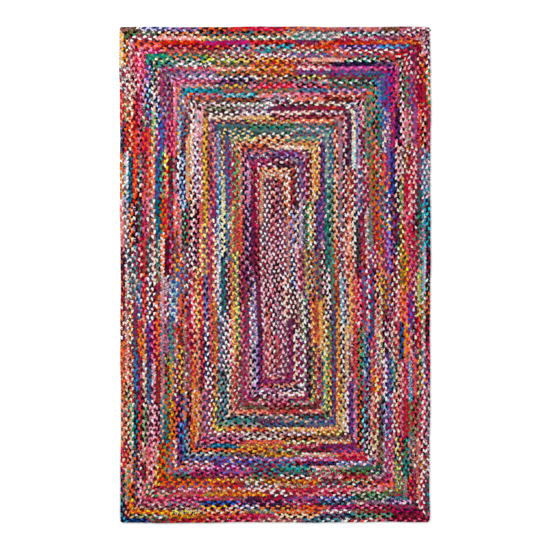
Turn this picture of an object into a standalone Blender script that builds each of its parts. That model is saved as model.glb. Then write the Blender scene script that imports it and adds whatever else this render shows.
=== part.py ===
"""Braided rug: one flat braid of cloth strips, wound square round a straight centre row and laced edge to edge.

The rug is a single solid, alike on both faces. Each turn of the braid is a raised row: two
crests, one for each line of plaits, with a dip between them, and a deeper seam where the turn is
laced to its neighbour. The rows follow the real winding, a square-cornered spiral that starts
with the straight centre row and ends at the top right corner.

Frame: metres, +Z up, the origin under the middle of the rug, the rug's length along Y.
"""

from collections import namedtuple

import bmesh
import bpy
from mathutils import Vector

# Driving dimensions, in metres
RUG_WIDTH = 1.524
RUG_LENGTH = 2.438
RUG_THICKNESS = 0.009
TURNS = 35  # turns of the braid round the centre row

# Worked out from them
BRAID_WIDTH = RUG_WIDTH / (2 * TURNS + 1)
CENTRE_LENGTH = RUG_LENGTH - RUG_WIDTH  # of the centre row, corner to corner

# Half of the braid's section: how far across from its middle, as a share of its half width, and
# how far the face lies below the crests there, in metres
SectionPoint = namedtuple("SectionPoint", "across drop")
HALF_SECTION = (
    SectionPoint(0.00, 0.0009),  # dip between the two lines of plaits
    SectionPoint(0.26, 0.0),  # crest, flat where the rug bears on the floor
    SectionPoint(0.62, 0.0),
    SectionPoint(0.86, 0.0010),  # shoulder
    SectionPoint(1.00, 0.0026),  # laced seam
)

CLOTH_COLOUR = (0.36, 0.17, 0.17, 1.0)  # the strips' many colours, seen together
CLOTH_ROUGHNESS = 0.95
MERGE_DISTANCE = 0.00001


def clear_scene():
    for old in list(bpy.data.objects):
        bpy.data.objects.remove(old, do_unlink=True)


def cloth_material():
    material = bpy.data.materials.new("braided_cloth")
    material.use_nodes = True
    shader = material.node_tree.nodes["Principled BSDF"]
    shader.inputs["Base Color"].default_value = CLOTH_COLOUR
    shader.inputs["Roughness"].default_value = CLOTH_ROUGHNESS
    shader.inputs["Metallic"].default_value = 0.0
    return material


def winding_corners():
    """Where the braid's centre line turns, from its start in the rug's middle to its outer end."""
    half = CENTRE_LENGTH / 2
    corners = [Vector((0.0, -half, 0.0))]
    for turn in range(TURNS + 1):
        reach = turn * BRAID_WIDTH
        corners.append(Vector((-reach, half + reach, 0.0)))
        if turn == TURNS:
            corners.append(Vector((reach, half + reach, 0.0)))
            break
        reach += BRAID_WIDTH
        corners.append(Vector((reach, half + reach - BRAID_WIDTH, 0.0)))
        corners.append(Vector((reach, -half - reach, 0.0)))
        corners.append(Vector((-reach, -half - reach, 0.0)))
    return corners


def whole_section():
    """The section's points from the braid's inner edge to its outer edge, as (offset, height)."""
    crest = RUG_THICKNESS / 2
    outer = [(p.across * BRAID_WIDTH / 2, crest - p.drop) for p in HALF_SECTION]
    inner = [(-offset, height) for offset, height in reversed(outer[1:])]
    return inner + outer


def left_of(direction):
    return Vector((-direction.y, direction.x, 0.0))


def section_row(bm, corner, arriving, leaving):
    """One row of vertices across the braid at a corner. Both edges are mitred there. At either
    end of the braid the section runs out by its own offset, which leaves room for a hipped end."""
    row = []
    for offset, height in whole_section():
        if arriving is None:
            shift = offset * left_of(leaving) - abs(offset) * leaving
        elif leaving is None:
            shift = offset * left_of(arriving) + abs(offset) * arriving
        else:
            shift = offset * (left_of(arriving) + left_of(leaving))
        row.append(bm.verts.new(corner + shift + Vector((0.0, 0.0, height))))
    return row


def join_rows(bm, first, second):
    """The braid's face between two corners."""
    for k in range(len(first) - 1):
        bm.faces.new((first[k], second[k], second[k + 1], first[k + 1]))


def close_end(bm, row):
    """The hipped end of the braid, between the inner and the outer half of its section."""
    middle = len(row) // 2
    bm.faces.new((row[middle - 1], row[middle], row[middle + 1]))
    for k in range(1, middle):
        bm.faces.new((row[middle - k - 1], row[middle - k], row[middle + k], row[middle + k + 1]))


def upper_half():
    """The rug from its middle plane up: the wound face, and its outer edge down to that plane."""
    bm = bmesh.new()
    corners = winding_corners()
    legs = [(b - a).normalized() for a, b in zip(corners, corners[1:])]
    rows = []
    for corner, arriving, leaving in zip(corners, [None] + legs, legs + [None]):
        rows.append(section_row(bm, corner, arriving, leaving))
    for first, second in zip(rows, rows[1:]):
        join_rows(bm, first, second)
    close_end(bm, rows[0])
    close_end(bm, rows[-1][::-1])
    bmesh.ops.remove_doubles(bm, verts=bm.verts, dist=MERGE_DISTANCE)
    rim = [edge for edge in bm.edges if edge.is_boundary]
    lowered = bmesh.ops.extrude_edge_only(bm, edges=rim)["geom"]
    for vertex in (item for item in lowered if isinstance(item, bmesh.types.BMVert)):
        vertex.co.z = 0.0
    return bm


def make_rug():
    mesh = bpy.data.meshes.new("braided_rug")
    bm = upper_half()
    bm.to_mesh(mesh)
    bm.free()
    mesh.materials.append(cloth_material())
    rug = bpy.data.objects.new("braided_rug", mesh)
    bpy.context.scene.collection.objects.link(rug)
    rug.location.z = RUG_THICKNESS / 2
    mirror = rug.modifiers.new("same_face_below", "MIRROR")
    mirror.use_axis = (False, False, True)
    mirror.merge_threshold = MERGE_DISTANCE
    return rug


clear_scene()
make_rug()
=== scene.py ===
"""Dresses the braided rug: every turn as a real three-strand plait of cloth strips, the folded cloth
inside it, dark as painted shade in the gaps between the lobes, and a pale studio stage seen from
straight above. Units are metres, +Z is up, and the rug lies on z = 0 with its length along Y. The
braid winds clockwise, from the straight centre row out to the top right corner."""

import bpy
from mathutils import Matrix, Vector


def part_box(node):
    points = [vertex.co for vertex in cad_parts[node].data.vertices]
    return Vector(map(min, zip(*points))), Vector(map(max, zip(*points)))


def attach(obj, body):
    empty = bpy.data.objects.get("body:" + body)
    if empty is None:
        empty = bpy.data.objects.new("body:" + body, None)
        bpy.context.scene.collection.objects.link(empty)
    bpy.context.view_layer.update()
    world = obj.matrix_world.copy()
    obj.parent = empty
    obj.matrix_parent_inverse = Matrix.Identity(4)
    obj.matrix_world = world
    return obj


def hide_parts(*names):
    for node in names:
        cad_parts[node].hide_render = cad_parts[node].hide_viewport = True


bl_info = {
    "name": "Braided Rug",
    "version": (1, 0, 0),
    "blender": (4, 5, 0),
    "location": "View3D > Sidebar > Rug",
    "description": "Plaits a rectangular rug of cloth strips and sets a pale stage round it",
    "category": "Add Mesh",
}

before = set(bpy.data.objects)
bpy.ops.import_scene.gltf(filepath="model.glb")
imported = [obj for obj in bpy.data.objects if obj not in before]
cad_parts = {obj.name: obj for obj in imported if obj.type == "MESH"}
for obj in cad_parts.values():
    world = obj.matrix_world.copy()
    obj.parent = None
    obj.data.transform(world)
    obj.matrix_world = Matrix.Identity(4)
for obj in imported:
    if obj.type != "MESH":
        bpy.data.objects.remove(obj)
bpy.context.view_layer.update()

import math
from collections import namedtuple

import bmesh
import bpy
import numpy as np
from mathutils import Vector

RUG_LOW, RUG_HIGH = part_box("braided_rug")
RUG_WIDTH = RUG_HIGH[0] - RUG_LOW[0]
RUG_LENGTH = RUG_HIGH[1] - RUG_LOW[1]
RUG_THICKNESS = RUG_HIGH[2] - RUG_LOW[2]

TURNS = 35  # turns of the braid round the centre row
STRANDS = 3
SEED = 41

# The cloths in the rag bag, as they look in daylight (sRGB)
CLOTHS = {
    "white": (0.985, 0.95, 0.94),
    "cream": (0.98, 0.88, 0.78),
    "black": (0.04, 0.02, 0.03),
    "charcoal": (0.16, 0.12, 0.14),
    "grey": (0.56, 0.48, 0.51),
    "navy": (0.06, 0.10, 0.30),
    "blue": (0.12, 0.36, 0.68),
    "sky": (0.58, 0.76, 0.92),
    "turquoise": (0.12, 0.70, 0.78),
    "teal": (0.06, 0.47, 0.54),
    "green": (0.14, 0.56, 0.38),
    "forest": (0.05, 0.25, 0.18),
    "lime": (0.66, 0.74, 0.36),
    "olive": (0.45, 0.37, 0.23),
    "yellow": (0.97, 0.78, 0.36),
    "mustard": (0.83, 0.58, 0.28),
    "orange": (0.91, 0.44, 0.22),
    "peach": (0.95, 0.66, 0.57),
    "coral": (0.87, 0.38, 0.35),
    "red": (0.80, 0.15, 0.18),
    "crimson": (0.69, 0.09, 0.27),
    "maroon": (0.37, 0.05, 0.15),
    "brown": (0.40, 0.19, 0.16),
    "tan": (0.71, 0.50, 0.42),
    "pink": (0.93, 0.50, 0.59),
    "rose": (0.98, 0.78, 0.81),
    "magenta": (0.67, 0.18, 0.43),
    "purple": (0.40, 0.18, 0.45),
    "plum": (0.30, 0.09, 0.22),
    "lilac": (0.71, 0.60, 0.79),
}

# What the braider had in hand on each turn, outermost first, written down. A side lists its
# stretches in winding order, set off by strokes, and a stretch names the cloth of each of the three
# strands. Bars set off the stretches near the side's two corners.
Turn = namedtuple("Turn", "number right bottom left top")
BRAIDING_CHART = (
    Turn(
        35,
        right="crimson charcoal white / orange green white | crimson pink white / teal turquoise white / "
        "turquoise navy black / black navy maroon / crimson black orange / black crimson maroon / black "
        "purple white | black crimson white / teal maroon black",
        bottom="black maroon crimson | black red teal / teal white black / crimson cream brown / crimson "
        "pink white / crimson orange black | black crimson green / navy black blue",
        left="navy black teal / green navy pink / crimson red lilac | navy peach orange / red orange "
        "peach / orange cream red / orange crimson black / white pink orange / orange yellow crimson | "
        "black lilac navy / orange crimson peach / teal white crimson / yellow orange cream",
        top="olive black green / navy blue white | navy white blue / plum orange crimson / red crimson "
        "pink / teal crimson orange / grey pink orange | brown olive tan / white black orange",
    ),
    Turn(
        34,
        right="crimson purple grey / crimson orange maroon / crimson red brown | orange black cream / "
        "turquoise blue white / turquoise white teal / lilac turquoise cream / grey white green / grey "
        "teal white / crimson pink white | white crimson maroon / white crimson crimson",
        bottom="crimson maroon black | teal black green / black maroon teal / cream black orange / "
        "crimson red magenta / orange red magenta / olive yellow orange | purple green yellow / maroon "
        "crimson navy",
        left="maroon navy orange / green orange teal / pink rose green / crimson white maroon | orange "
        "cream charcoal / cream red orange / cream teal red / teal white navy / navy sky white | orange "
        "red charcoal / green cream orange / white pink crimson / cream orange forest",
        top="olive green black / green black white | cream orange black / teal orange black / orange "
        "black teal / teal cream brown / white black teal | white grey black / lilac maroon white",
    ),
    Turn(
        33,
        right="crimson red plum | orange red crimson / crimson black teal / teal green crimson / teal "
        "green pink / lime green cream / orange red crimson / green orange crimson / green pink crimson | "
        "crimson coral grey / orange crimson grey",
        bottom="maroon crimson brown | crimson green maroon / white crimson black / cream red orange / "
        "teal yellow white / orange crimson cream / yellow black cream | yellow crimson orange",
        left="teal crimson orange / orange teal black / white pink yellow / white black teal | cream "
        "black green / orange cream crimson / cream black orange / teal black navy / orange brown crimson "
        "/ teal black navy | orange peach crimson / cream crimson white / white crimson pink",
        top="crimson pink white | peach pink white / teal yellow cream / cream green crimson / teal cream "
        "green / purple crimson green | purple maroon grey / crimson orange purple",
    ),
    Turn(
        32,
        right="grey crimson plum / crimson red grey | purple crimson blue / crimson cream pink / crimson "
        "white red / crimson charcoal green / crimson navy white / purple crimson navy / crimson purple "
        "orange / olive crimson black | maroon grey crimson",
        bottom="crimson maroon navy | crimson pink red / crimson magenta navy / navy crimson orange / "
        "orange purple crimson / cream black blue / yellow black maroon / cream pink black | crimson "
        "maroon yellow / teal maroon grey",
        left="teal grey maroon / black teal maroon | black teal charcoal / blue teal navy / navy purple "
        "maroon / crimson teal black / maroon black purple / red orange crimson | crimson orange red / "
        "crimson red coral / brown black peach / crimson pink maroon",
        top="red orange crimson | red orange black / crimson blue red / orange red crimson / red orange "
        "purple / orange coral red | coral crimson orange / crimson red orange",
    ),
    Turn(
        31,
        right="crimson rose navy / crimson blue grey | olive pink white / crimson white red / pink red "
        "white / crimson magenta red / navy purple crimson / crimson blue purple / crimson orange grey / "
        "teal crimson blue / olive green crimson | maroon grey teal / maroon teal green / crimson maroon "
        "plum",
        bottom="pink blue purple | purple grey white / teal navy black / navy white crimson / navy maroon "
        "blue / navy blue black / teal crimson pink | pink white crimson",
        left="pink white maroon / white crimson plum | crimson maroon orange / maroon plum crimson / "
        "crimson yellow orange / teal blue crimson / crimson black red / teal black olive / black teal "
        "cream | black grey crimson / crimson pink maroon / red pink crimson",
        top="crimson orange pink | crimson pink black / crimson charcoal orange / turquoise teal grey / "
        "orange red teal / blue purple lilac | blue turquoise crimson",
    ),
    Turn(
        30,
        right="red crimson white / crimson grey green | pink teal white / crimson olive yellow / red "
        "crimson pink / pink olive red / yellow lime crimson / orange crimson pink / orange yellow "
        "crimson / crimson pink red / olive red crimson | navy black green / green black teal / teal "
        "green pink",
        bottom="teal green blue | green charcoal cream / maroon navy blue / pink crimson blue / crimson "
        "maroon pink / crimson black olive / magenta pink black | crimson pink teal",
        left="crimson pink peach / crimson black cream / cream green pink | cream green black / forest "
        "black cream / peach orange black / crimson red orange / crimson olive red / pink crimson white / "
        "black forest crimson | red orange crimson / black green crimson / tan black lilac / plum magenta "
        "pink",
        top="crimson orange pink | crimson tan brown / white teal crimson / crimson white green / crimson "
        "red white | white green crimson / white pink crimson",
    ),
    Turn(
        29,
        right="black white green | black white pink / white crimson black / yellow green cream / crimson "
        "olive yellow / orange yellow green / orange red peach / black blue orange / cream crimson pink / "
        "grey pink crimson | orange navy white / green navy white / teal green olive",
        bottom="green teal black | green black white / white black crimson / crimson pink navy / white "
        "crimson charcoal / red orange yellow / orange yellow green / green pink crimson | green crimson "
        "peach",
        left="crimson teal green / red coral cream / pink purple orange | maroon black grey / teal blue "
        "black / purple blue crimson / white blue black / white black teal / white pink crimson / orange "
        "red cream | orange red crimson / blue navy white / turquoise blue navy / navy blue lilac",
        top="green teal grey | green teal black / navy lime white / purple white crimson / magenta purple "
        "blue / teal crimson magenta | crimson red maroon",
    ),
    Turn(
        28,
        right="purple navy magenta | purple black navy / pink black white / white black magenta / purple "
        "maroon green / white olive crimson / white pink crimson / coral red green / cream orange black / "
        "coral orange yellow | yellow black cream / green black yellow",
        bottom="white pink crimson | pink white crimson / white red pink / red crimson coral / white "
        "crimson red / cream crimson orange / white pink crimson | white crimson pink",
        left="white peach coral / pink white crimson / peach coral pink | pink crimson white / black "
        "white pink / crimson pink orange / black white crimson / white cream crimson / teal white orange "
        "/ cream orange pink | mustard green peach / green lime white / white brown navy / cream black "
        "teal",
        top="black cream green | green white navy / cream yellow green / yellow cream black / cream "
        "orange crimson / peach cream crimson / green black cream | black green white",
    ),
    Turn(
        27,
        right="purple navy crimson | purple magenta navy / blue navy grey / olive maroon blue / blue "
        "purple navy / crimson cream maroon / cream black crimson / white teal green / white crimson grey "
        "| crimson pink white",
        bottom="orange yellow red | red orange yellow / teal green crimson / orange white red / crimson "
        "teal orange / orange red crimson / orange blue red | crimson maroon grey",
        left="yellow orange black / orange cream black | black pink tan / black crimson brown / orange "
        "crimson peach / orange olive crimson / green teal white / teal blue green / blue teal purple | "
        "blue purple crimson / blue white navy / white purple black",
        top="black green teal | forest white navy / navy orange green / orange crimson brown / crimson "
        "brown black / purple navy black | purple magenta navy",
    ),
    Turn(
        26,
        right="blue purple crimson | blue lilac maroon / blue purple crimson / blue purple grey / blue "
        "purple lilac / blue maroon purple / purple maroon white / teal purple blue / sky blue crimson | "
        "crimson magenta purple",
        bottom="crimson pink green | orange green crimson / grey maroon orange / orange red yellow / "
        "yellow crimson white / yellow green cream / orange yellow crimson / orange red black | orange "
        "red black",
        left="orange red black | peach grey teal / pink grey tan / pink teal grey / rose sky grey / peach "
        "rose orange / orange red green / teal green crimson | blue purple teal / purple grey maroon",
        top="purple grey crimson | crimson red maroon / peach cream pink / cream yellow orange / red "
        "cream white / purple magenta pink | crimson purple magenta",
    ),
    Turn(
        25,
        right="blue purple teal | teal blue purple / orange teal crimson / teal red green / pink crimson "
        "grey / olive crimson yellow / white crimson black / white black lilac / lilac navy sky | lilac "
        "white maroon",
        bottom="crimson red maroon | crimson charcoal red / crimson white black / white black green / "
        "green crimson black / crimson charcoal pink / crimson brown green | green black crimson",
        left="green orange crimson | teal green maroon / green crimson charcoal / crimson teal pink / "
        "pink crimson rose / crimson maroon pink / orange red crimson / yellow red crimson | crimson pink "
        "grey / grey purple plum",
        top="grey plum teal | teal grey blue / green orange olive / orange olive crimson / purple magenta "
        "blue / blue teal purple | blue purple navy",
    ),
    Turn(
        24,
        right="teal grey blue | teal green charcoal / crimson teal green / orange teal purple / orange "
        "red teal / pink yellow orange / cream black orange / green yellow maroon / olive yellow crimson "
        "/ green black purple | green olive lime",
        bottom="green teal crimson | green olive lime / green crimson teal / green teal charcoal / teal "
        "charcoal white / purple crimson blue / purple charcoal magenta | crimson magenta teal",
        left="orange red peach / orange teal black | orange yellow teal / yellow teal purple / teal green "
        "blue / blue sky charcoal / crimson teal maroon / crimson magenta teal / charcoal maroon green | "
        "crimson magenta pink / purple crimson grey",
        top="lilac grey teal | lilac white teal / black white purple / orange olive black / olive yellow "
        "black / olive brown crimson | green teal black",
    ),
    Turn(
        23,
        right="green pink black / crimson red yellow / crimson orange yellow / orange red crimson / "
        "crimson pink red / orange peach black / orange pink cream / magenta pink blue / cream yellow red "
        "/ orange cream red",
        bottom="green teal olive / green orange teal / teal green olive / crimson green teal / magenta "
        "crimson pink / purple magenta orange",
        left="purple orange cream | crimson orange black / orange purple crimson / grey orange crimson / "
        "green teal blue / yellow olive teal / coral orange red / pink coral white | pink crimson coral / "
        "pink rose crimson",
        top="magenta crimson pink / magenta purple green / crimson teal grey / green teal crimson / green "
        "purple teal",
    ),
    Turn(
        22,
        right="teal green orange / green orange olive / teal green grey / blue navy crimson / blue teal "
        "crimson / crimson orange yellow / cream peach crimson",
        bottom="blue black sky / crimson blue black / blue crimson teal / navy purple blue / purple "
        "orange blue",
        left="navy blue purple | navy blue purple / orange yellow black / orange brown red / blue purple "
        "orange / crimson pink grey / navy blue white | sky yellow blue / turquoise blue white / blue sky "
        "yellow",
        top="pink white teal / navy yellow teal / crimson pink red / crimson black pink / black orange "
        "teal",
    ),
    Turn(
        21,
        right="teal green grey / crimson pink magenta / white teal crimson / sky navy crimson / blue navy "
        "sky / sky black crimson",
        bottom="crimson pink red / crimson magenta lilac / blue lilac crimson / blue blue crimson / teal "
        "blue navy",
        left="teal blue navy | teal blue navy / navy maroon grey / charcoal grey navy / green teal blue / "
        "green forest yellow / navy blue sky | blue teal navy / teal grey crimson / teal crimson grey",
        top="teal turquoise navy / orange green teal / green teal orange / teal grey blue / blue teal "
        "pink",
    ),
    Turn(
        20,
        right="cream crimson pink / white teal crimson / red crimson grey / blue teal crimson / teal "
        "green navy / teal turquoise crimson",
        bottom="orange red crimson / orange crimson green / olive yellow orange / green charcoal orange / "
        "teal grey charcoal",
        left="maroon grey charcoal | maroon grey charcoal / crimson olive grey / crimson red pink / white "
        "crimson charcoal / black green red / orange cream yellow | orange yellow crimson / grey teal "
        "crimson / grey crimson maroon",
        top="orange blue red / turquoise white teal / sky teal orange / pink crimson white / crimson "
        "orange white",
    ),
    Turn(
        19,
        right="maroon lilac blue / blue purple grey / black navy maroon / red pink crimson / orange black "
        "green / orange brown black",
        bottom="purple blue red / forest crimson maroon / crimson red green / orange black yellow / "
        "orange red black",
        left="red orange yellow / orange red crimson / white red pink / white black pink / white peach "
        "maroon",
        top="orange navy brown / orange black brown / navy purple grey / maroon orange red / orange black "
        "brown",
    ),
    Turn(
        18,
        right="cream cream maroon / cream brown crimson / white forest peach / coral red crimson / red "
        "coral crimson / pink magenta teal",
        bottom="purple blue crimson / crimson red maroon / yellow red orange / teal blue navy",
        left="orange peach mustard / peach orange charcoal / orange yellow black / black pink white / "
        "white black lilac",
        top="rose forest pink / green white pink / white forest crimson / cream cream maroon",
    ),
    Turn(
        17,
        right="maroon grey purple / cream orange crimson / orange peach crimson / orange yellow pink / "
        "navy purple crimson / blue navy magenta",
        bottom="brown cream orange / yellow cream maroon / crimson orange red / maroon crimson pink",
        left="maroon olive pink / crimson red maroon / red orange crimson / orange pink yellow / white "
        "pink orange",
        top="cream green maroon / teal white crimson / crimson purple green / crimson red purple",
    ),
    Turn(
        16,
        right="maroon white pink / cream navy crimson / white pink maroon / white pink teal / cream "
        "crimson yellow / cream crimson white",
        bottom="maroon grey olive / orange brown pink / grey cream maroon / pink lilac maroon",
        left="pink blue maroon / blue white navy / navy blue grey / olive yellow purple / yellow olive "
        "mustard",
        top="maroon white plum / purple white cream / cream pink crimson / white purple crimson",
    ),
    Turn(
        15,
        right="grey teal pink / pink teal grey / teal white maroon / white teal turquoise / teal cream "
        "black / olive yellow cream",
        bottom="orange yellow olive / white grey crimson / cream grey maroon / crimson white grey",
        left="crimson white maroon / crimson orange maroon / crimson purple orange / orange maroon purple",
        top="white olive cream / orange yellow cream / brown pink maroon / tan crimson grey",
    ),
    Turn(
        14,
        right="cream maroon orange / orange peach brown / orange brown red / orange olive mustard / "
        "orange yellow brown",
        bottom="orange yellow red / orange yellow cream / yellow orange crimson",
        left="orange yellow black / orange yellow crimson / orange cream crimson / blue purple orange",
        top="orange navy purple / yellow red cream / orange peach crimson",
    ),
    Turn(
        13,
        right="teal green blue / green teal forest / forest teal green / charcoal purple teal / teal blue "
        "maroon",
        bottom="teal blue grey / blue teal maroon / green lilac charcoal",
        left="teal green maroon / lilac teal maroon / teal white lilac / sky purple teal / sky blue teal",
        top="teal green grey / green teal purple / teal blue green",
    ),
    Turn(
        12,
        right="teal green grey / teal green white / green purple teal / white black lilac / yellow green "
        "black / yellow green maroon",
        bottom="grey purple teal / orange grey teal / purple teal black / teal green black",
        left="teal black grey / forest white teal / teal green navy / yellow navy cream / yellow black "
        "cream",
        top="yellow teal olive / green teal grey / green rose teal",
    ),
    Turn(
        11,
        right="blue navy purple / purple blue magenta / black white pink / black yellow cream / yellow "
        "cream green",
        bottom="charcoal maroon teal / teal green pink / teal cream black",
        left="cream teal black / white pink black / white black crimson / teal blue maroon / teal purple "
        "blue",
        top="yellow blue teal / green purple white / maroon grey teal",
    ),
    Turn(
        10,
        right="orange yellow navy / navy blue purple / magenta crimson green / yellow orange teal / blue "
        "teal red",
        bottom="crimson orange cream / red crimson orange / orange red crimson",
        left="orange crimson red / orange red yellow / yellow orange crimson / yellow orange green / "
        "crimson forest green",
        top="green maroon yellow / yellow orange black / yellow teal green",
    ),
    Turn(
        9,
        right="orange yellow cream / orange cream yellow / blue orange yellow / orange crimson red / "
        "crimson red orange",
        bottom="olive crimson charcoal / green black crimson / charcoal crimson green",
        left="green red forest / yellow black green / green yellow grey / green orange crimson / green "
        "yellow crimson",
        top="brown orange cream / orange cream maroon / orange yellow cream",
    ),
    Turn(
        8,
        right="black cream brown / cream yellow green / orange cream yellow / yellow orange crimson / "
        "yellow green brown",
        bottom="crimson pink green / crimson maroon pink / crimson magenta charcoal",
        left="crimson forest teal / crimson purple pink / crimson pink charcoal / red orange olive / "
        "orange red green",
        top="orange red brown / orange brown cream",
    ),
    Turn(
        7,
        right="crimson maroon lilac / forest green cream / yellow olive green / purple grey navy / navy "
        "purple crimson",
        bottom="crimson maroon purple / magenta purple pink / cream maroon purple",
        left="crimson pink purple / purple crimson olive / grey purple black / pink purple navy",
        top="pink teal navy / purple blue crimson",
    ),
    Turn(
        6,
        right="blue grey purple / lilac grey crimson / purple crimson grey / cream green black / cream "
        "purple green",
        bottom="white cream crimson / navy lilac black",
        left="cream purple navy / white crimson blue / lilac black purple / lilac navy purple / blue navy "
        "pink",
        top="blue navy white / purple lilac navy",
    ),
    Turn(
        5,
        right="black white crimson / white black maroon / cream pink maroon / cream black maroon / navy "
        "lilac red",
        bottom="purple navy white / purple magenta navy",
        left="blue lilac navy / lilac blue purple / purple crimson maroon / crimson maroon plum",
        top="navy purple crimson / white black crimson",
    ),
    Turn(
        4,
        right="crimson orange maroon / blue sky black / blue sky maroon / maroon white navy / cream "
        "orange navy",
        bottom="cream orange navy / navy magenta purple",
        left="purple navy magenta / purple crimson magenta / crimson maroon black / maroon crimson plum",
        top="crimson maroon lilac / maroon navy purple",
    ),
    Turn(
        3,
        right="orange cream maroon / orange cream blue / crimson cream navy / crimson purple magenta",
        bottom="navy purple orange / cream crimson black",
        left="purple maroon crimson / rose purple crimson / cream crimson navy / cream orange peach",
        top="cream orange maroon",
    ),
    Turn(
        2,
        right="cream orange maroon / cream purple red / cream peach maroon / rose crimson navy",
        bottom="cream orange navy",
        left="rose orange crimson / rose crimson black / cream maroon purple",
        top="cream maroon orange",
    ),
    Turn(
        1,
        right="rose purple maroon / rose crimson black / rose crimson purple",
        bottom="cream crimson black",
        left="rose crimson maroon / rose crimson black / rose plum crimson / peach purple maroon",
        top="cream crimson black",
    ),
    Turn(
        0,
        right="",
        bottom="",
        left="crimson peach maroon / rose purple crimson / rose maroon black / rose purple crimson / rose "
        "crimson black",
        top="maroon black peach",
    ),
)


# How the braid is plaited, beside what the user can change. All sizes are in metres, and where it
# says widths, in widths of the braid.
RINGS_A_PLAIT = 8  # cross sections along a strand in one full plait, over and under on both sides
RINGS_A_LOBE = RINGS_A_PLAIT // 2  # a strand comes up once on each side of the braid
UNDER_RING = 3  # of the four rings of a lobe, the one at which the strand lies beneath
RINGS_BEFORE = 40  # rings kept before the braid's start, and as many past its end
STRAND_SECTION = ((1.0, 0.0), (0.85, 0.95), (-0.85, 0.95), (-1.0, 0.0), (0.0, -1.0))  # folded side down
AROUND = len(STRAND_SECTION)
GIRTH = 2.35  # strand widths once round a strand
SLANT = 1.1  # length of strand that goes into a length of braid
LIFT = 0.93  # how much of the room above and below a strand's middle its crossings use
THICKNESS_STRAY = 0.6  # how uneven the strands' thickness is, beside their width
STRAY_ACROSS = 0.0007  # by how much a strand's crossings stray across the braid
STRAY_ALONG = 0.0018  # and along it
WIDEST = 0.64  # widths from the braid's middle to the tips of its scallops, which mesh with the next row's
OUTER_EDGE = 0.53  # widths from its middle to the rug's own edge, where no row meshes with the outermost
LEGS_A_TURN = 4

# How the plaits' length changes
TIGHT_START = 0.075  # share by which the first plaits are shorter, which fades over TIGHT_TURNS turns
TIGHT_TURNS = 13.0
PACE_STRAY = 0.065  # share by which the plaits' length strays as the braider's hands change
PACE_HOLDS = 0.30  # length of braid over which it changes
PACE_STEP = 0.02  # length of braid between the places at which the plaits are counted
SPARE = 1.0  # length of braid reckoned with before its start and past its end

# How the braid turns, ends and lies
MITRE_REACH = 2.0  # widths from a corner over which the plaits stretch or crowd
CORNER_BEND = 0.62  # widths from a corner at which an edge starts to bend
END_TAPER = 1.3  # widths over which the braid narrows to its tucked ends
END_TUCK = 0.7  # widths past an end at which it would be narrowest
END_SIZES = (0.62, 1.0)  # size of a strand there, and where the braid is full
END_REACH = 0.42  # widths by which the strands run past the braid's ends
LACING_WAVES = ((1.1, 0.8), (0.62, 0.6), (0.31, 0.45), (0.17, 0.3))  # lengths, and shares of the wander
LEAN = 0.016  # by how much the inner rows lean to the right, most at LEAN_PLACE along the rug
LEAN_PLACE = -0.45
LEAN_REACH = 0.45

# How the chart is followed. Of a pair, the first is for turns that keep close to it, the second for
# those further out.
CHARTED = {"left": (-0.81, 0.615), "top": (-0.545, 0.54), "right": (0.81, -0.81), "bottom": (0.54, -0.545)}
MOSTLY_CHARTED = 19  # turns that keep close to the chart
CORNER_STRETCH = 0.09  # length at least of the stretches before or after a corner
STRETCH_STRAY = 0.15  # share of a stretch by which its start strays
STRIP_LASTS = ((0.16, 0.48), (0.10, 0.34))  # length of braid for a strip
ODD_LASTS = ((0.05, 0.20), (0.03, 0.10))  # the same for a strip that isn't the chart's
LAST_STRIP = 0.1  # length of a stretch's rest for which no new strip is sewn on
ODD_STRIPS = (0.08, 0.28)  # share of the strips that aren't the chart's
ODD_CLOTHS = (
    "crimson", "crimson", "red", "maroon", "pink", "white", "white", "cream", "black", "black",
    "navy", "blue", "teal", "teal", "green", "green", "turquoise", "turquoise", "sky", "lime",
    "orange", "orange", "yellow", "yellow", "purple", "coral", "peach",
)
LEFT_OUT = (0.15, 0.15)  # share of the third strand's strips that aren't its own cloth
LIKE_THE_FIRST = 0.35  # share of these in the first strand's cloth, while the rest are dark
DARK_CLOTHS = ("black", "black", "maroon", "maroon", "brown", "plum", "navy")
FIRST_LOBE = -8  # the lobe from which on the strips are laid
SPARE_LOBES = 20

# How the strips are printed
PRINTED_STRIPS = 0.5  # share of the strips that are printed
FIGURES = ("white", "cream", "black", "black", "navy", "crimson", "crimson", "maroon", "pink", "orange")
PRINT_SHARES = (0.0, 0.12, 0.4, 0.8)  # how much of a printed strip's rise its figure covers
PRINT_CHANCES = ((0.55, 0.25, 0.15, 0.05), (0.38, 0.22, 0.20, 0.20))  # of these, by turn as above
PLAIN_SHARE = 0.08  # the most that another colour covers of a plain strip's rise
PRINT_KINDS = (0.9, 0.7)  # strength of a figure of blots, and of one of dots
PRINT_SPLIT = (0.78, 0.82)  # the strengths between which the one becomes the other
PLAIN = 0.1  # strength of the figure on a plain strip, where it shows as flecks

# How light and bright the strips are
LUMINANCE = np.array((0.2126, 0.7152, 0.0722))
UNLAID = 0.1  # shade of a lobe before a strip is laid there
PALEST = 0.95  # the most light that any cloth gives back
STRIP_SHADES = 0.15  # spread of the shades of one cloth's strips
LOBE_SHADES = 0.2  # spread of the shades along one strip
PALE = 0.55  # luminance of a cloth from which on it shows its age
GREYED = ((0.66, 1.0), (0.36, 0.88))  # shades of such strips, and of the third strand's further out
BLEND_CELL = 0.007  # length between the places at which the braid's hue is worked out
SPARE_CELLS = 5
LOBE_OUT = 0.25  # widths from the braid's middle to the top of a lobe
LOBE_TOP = 1 / 8  # share of a plait from where a strand crosses the middle to the top of its lobe
WIDE_BLURS = 7  # times that the lightness is spread out
DARKEST_STRETCH = 0.05  # the least lightness that a stretch is taken to have
ALIKE = (0.72, 0.9)  # how far a bright strip and a plain one take on the hue of the braid round them
HUE_STRENGTH = ((12, 26), (1.03, 1.30))  # strength of the hues by turn
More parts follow.
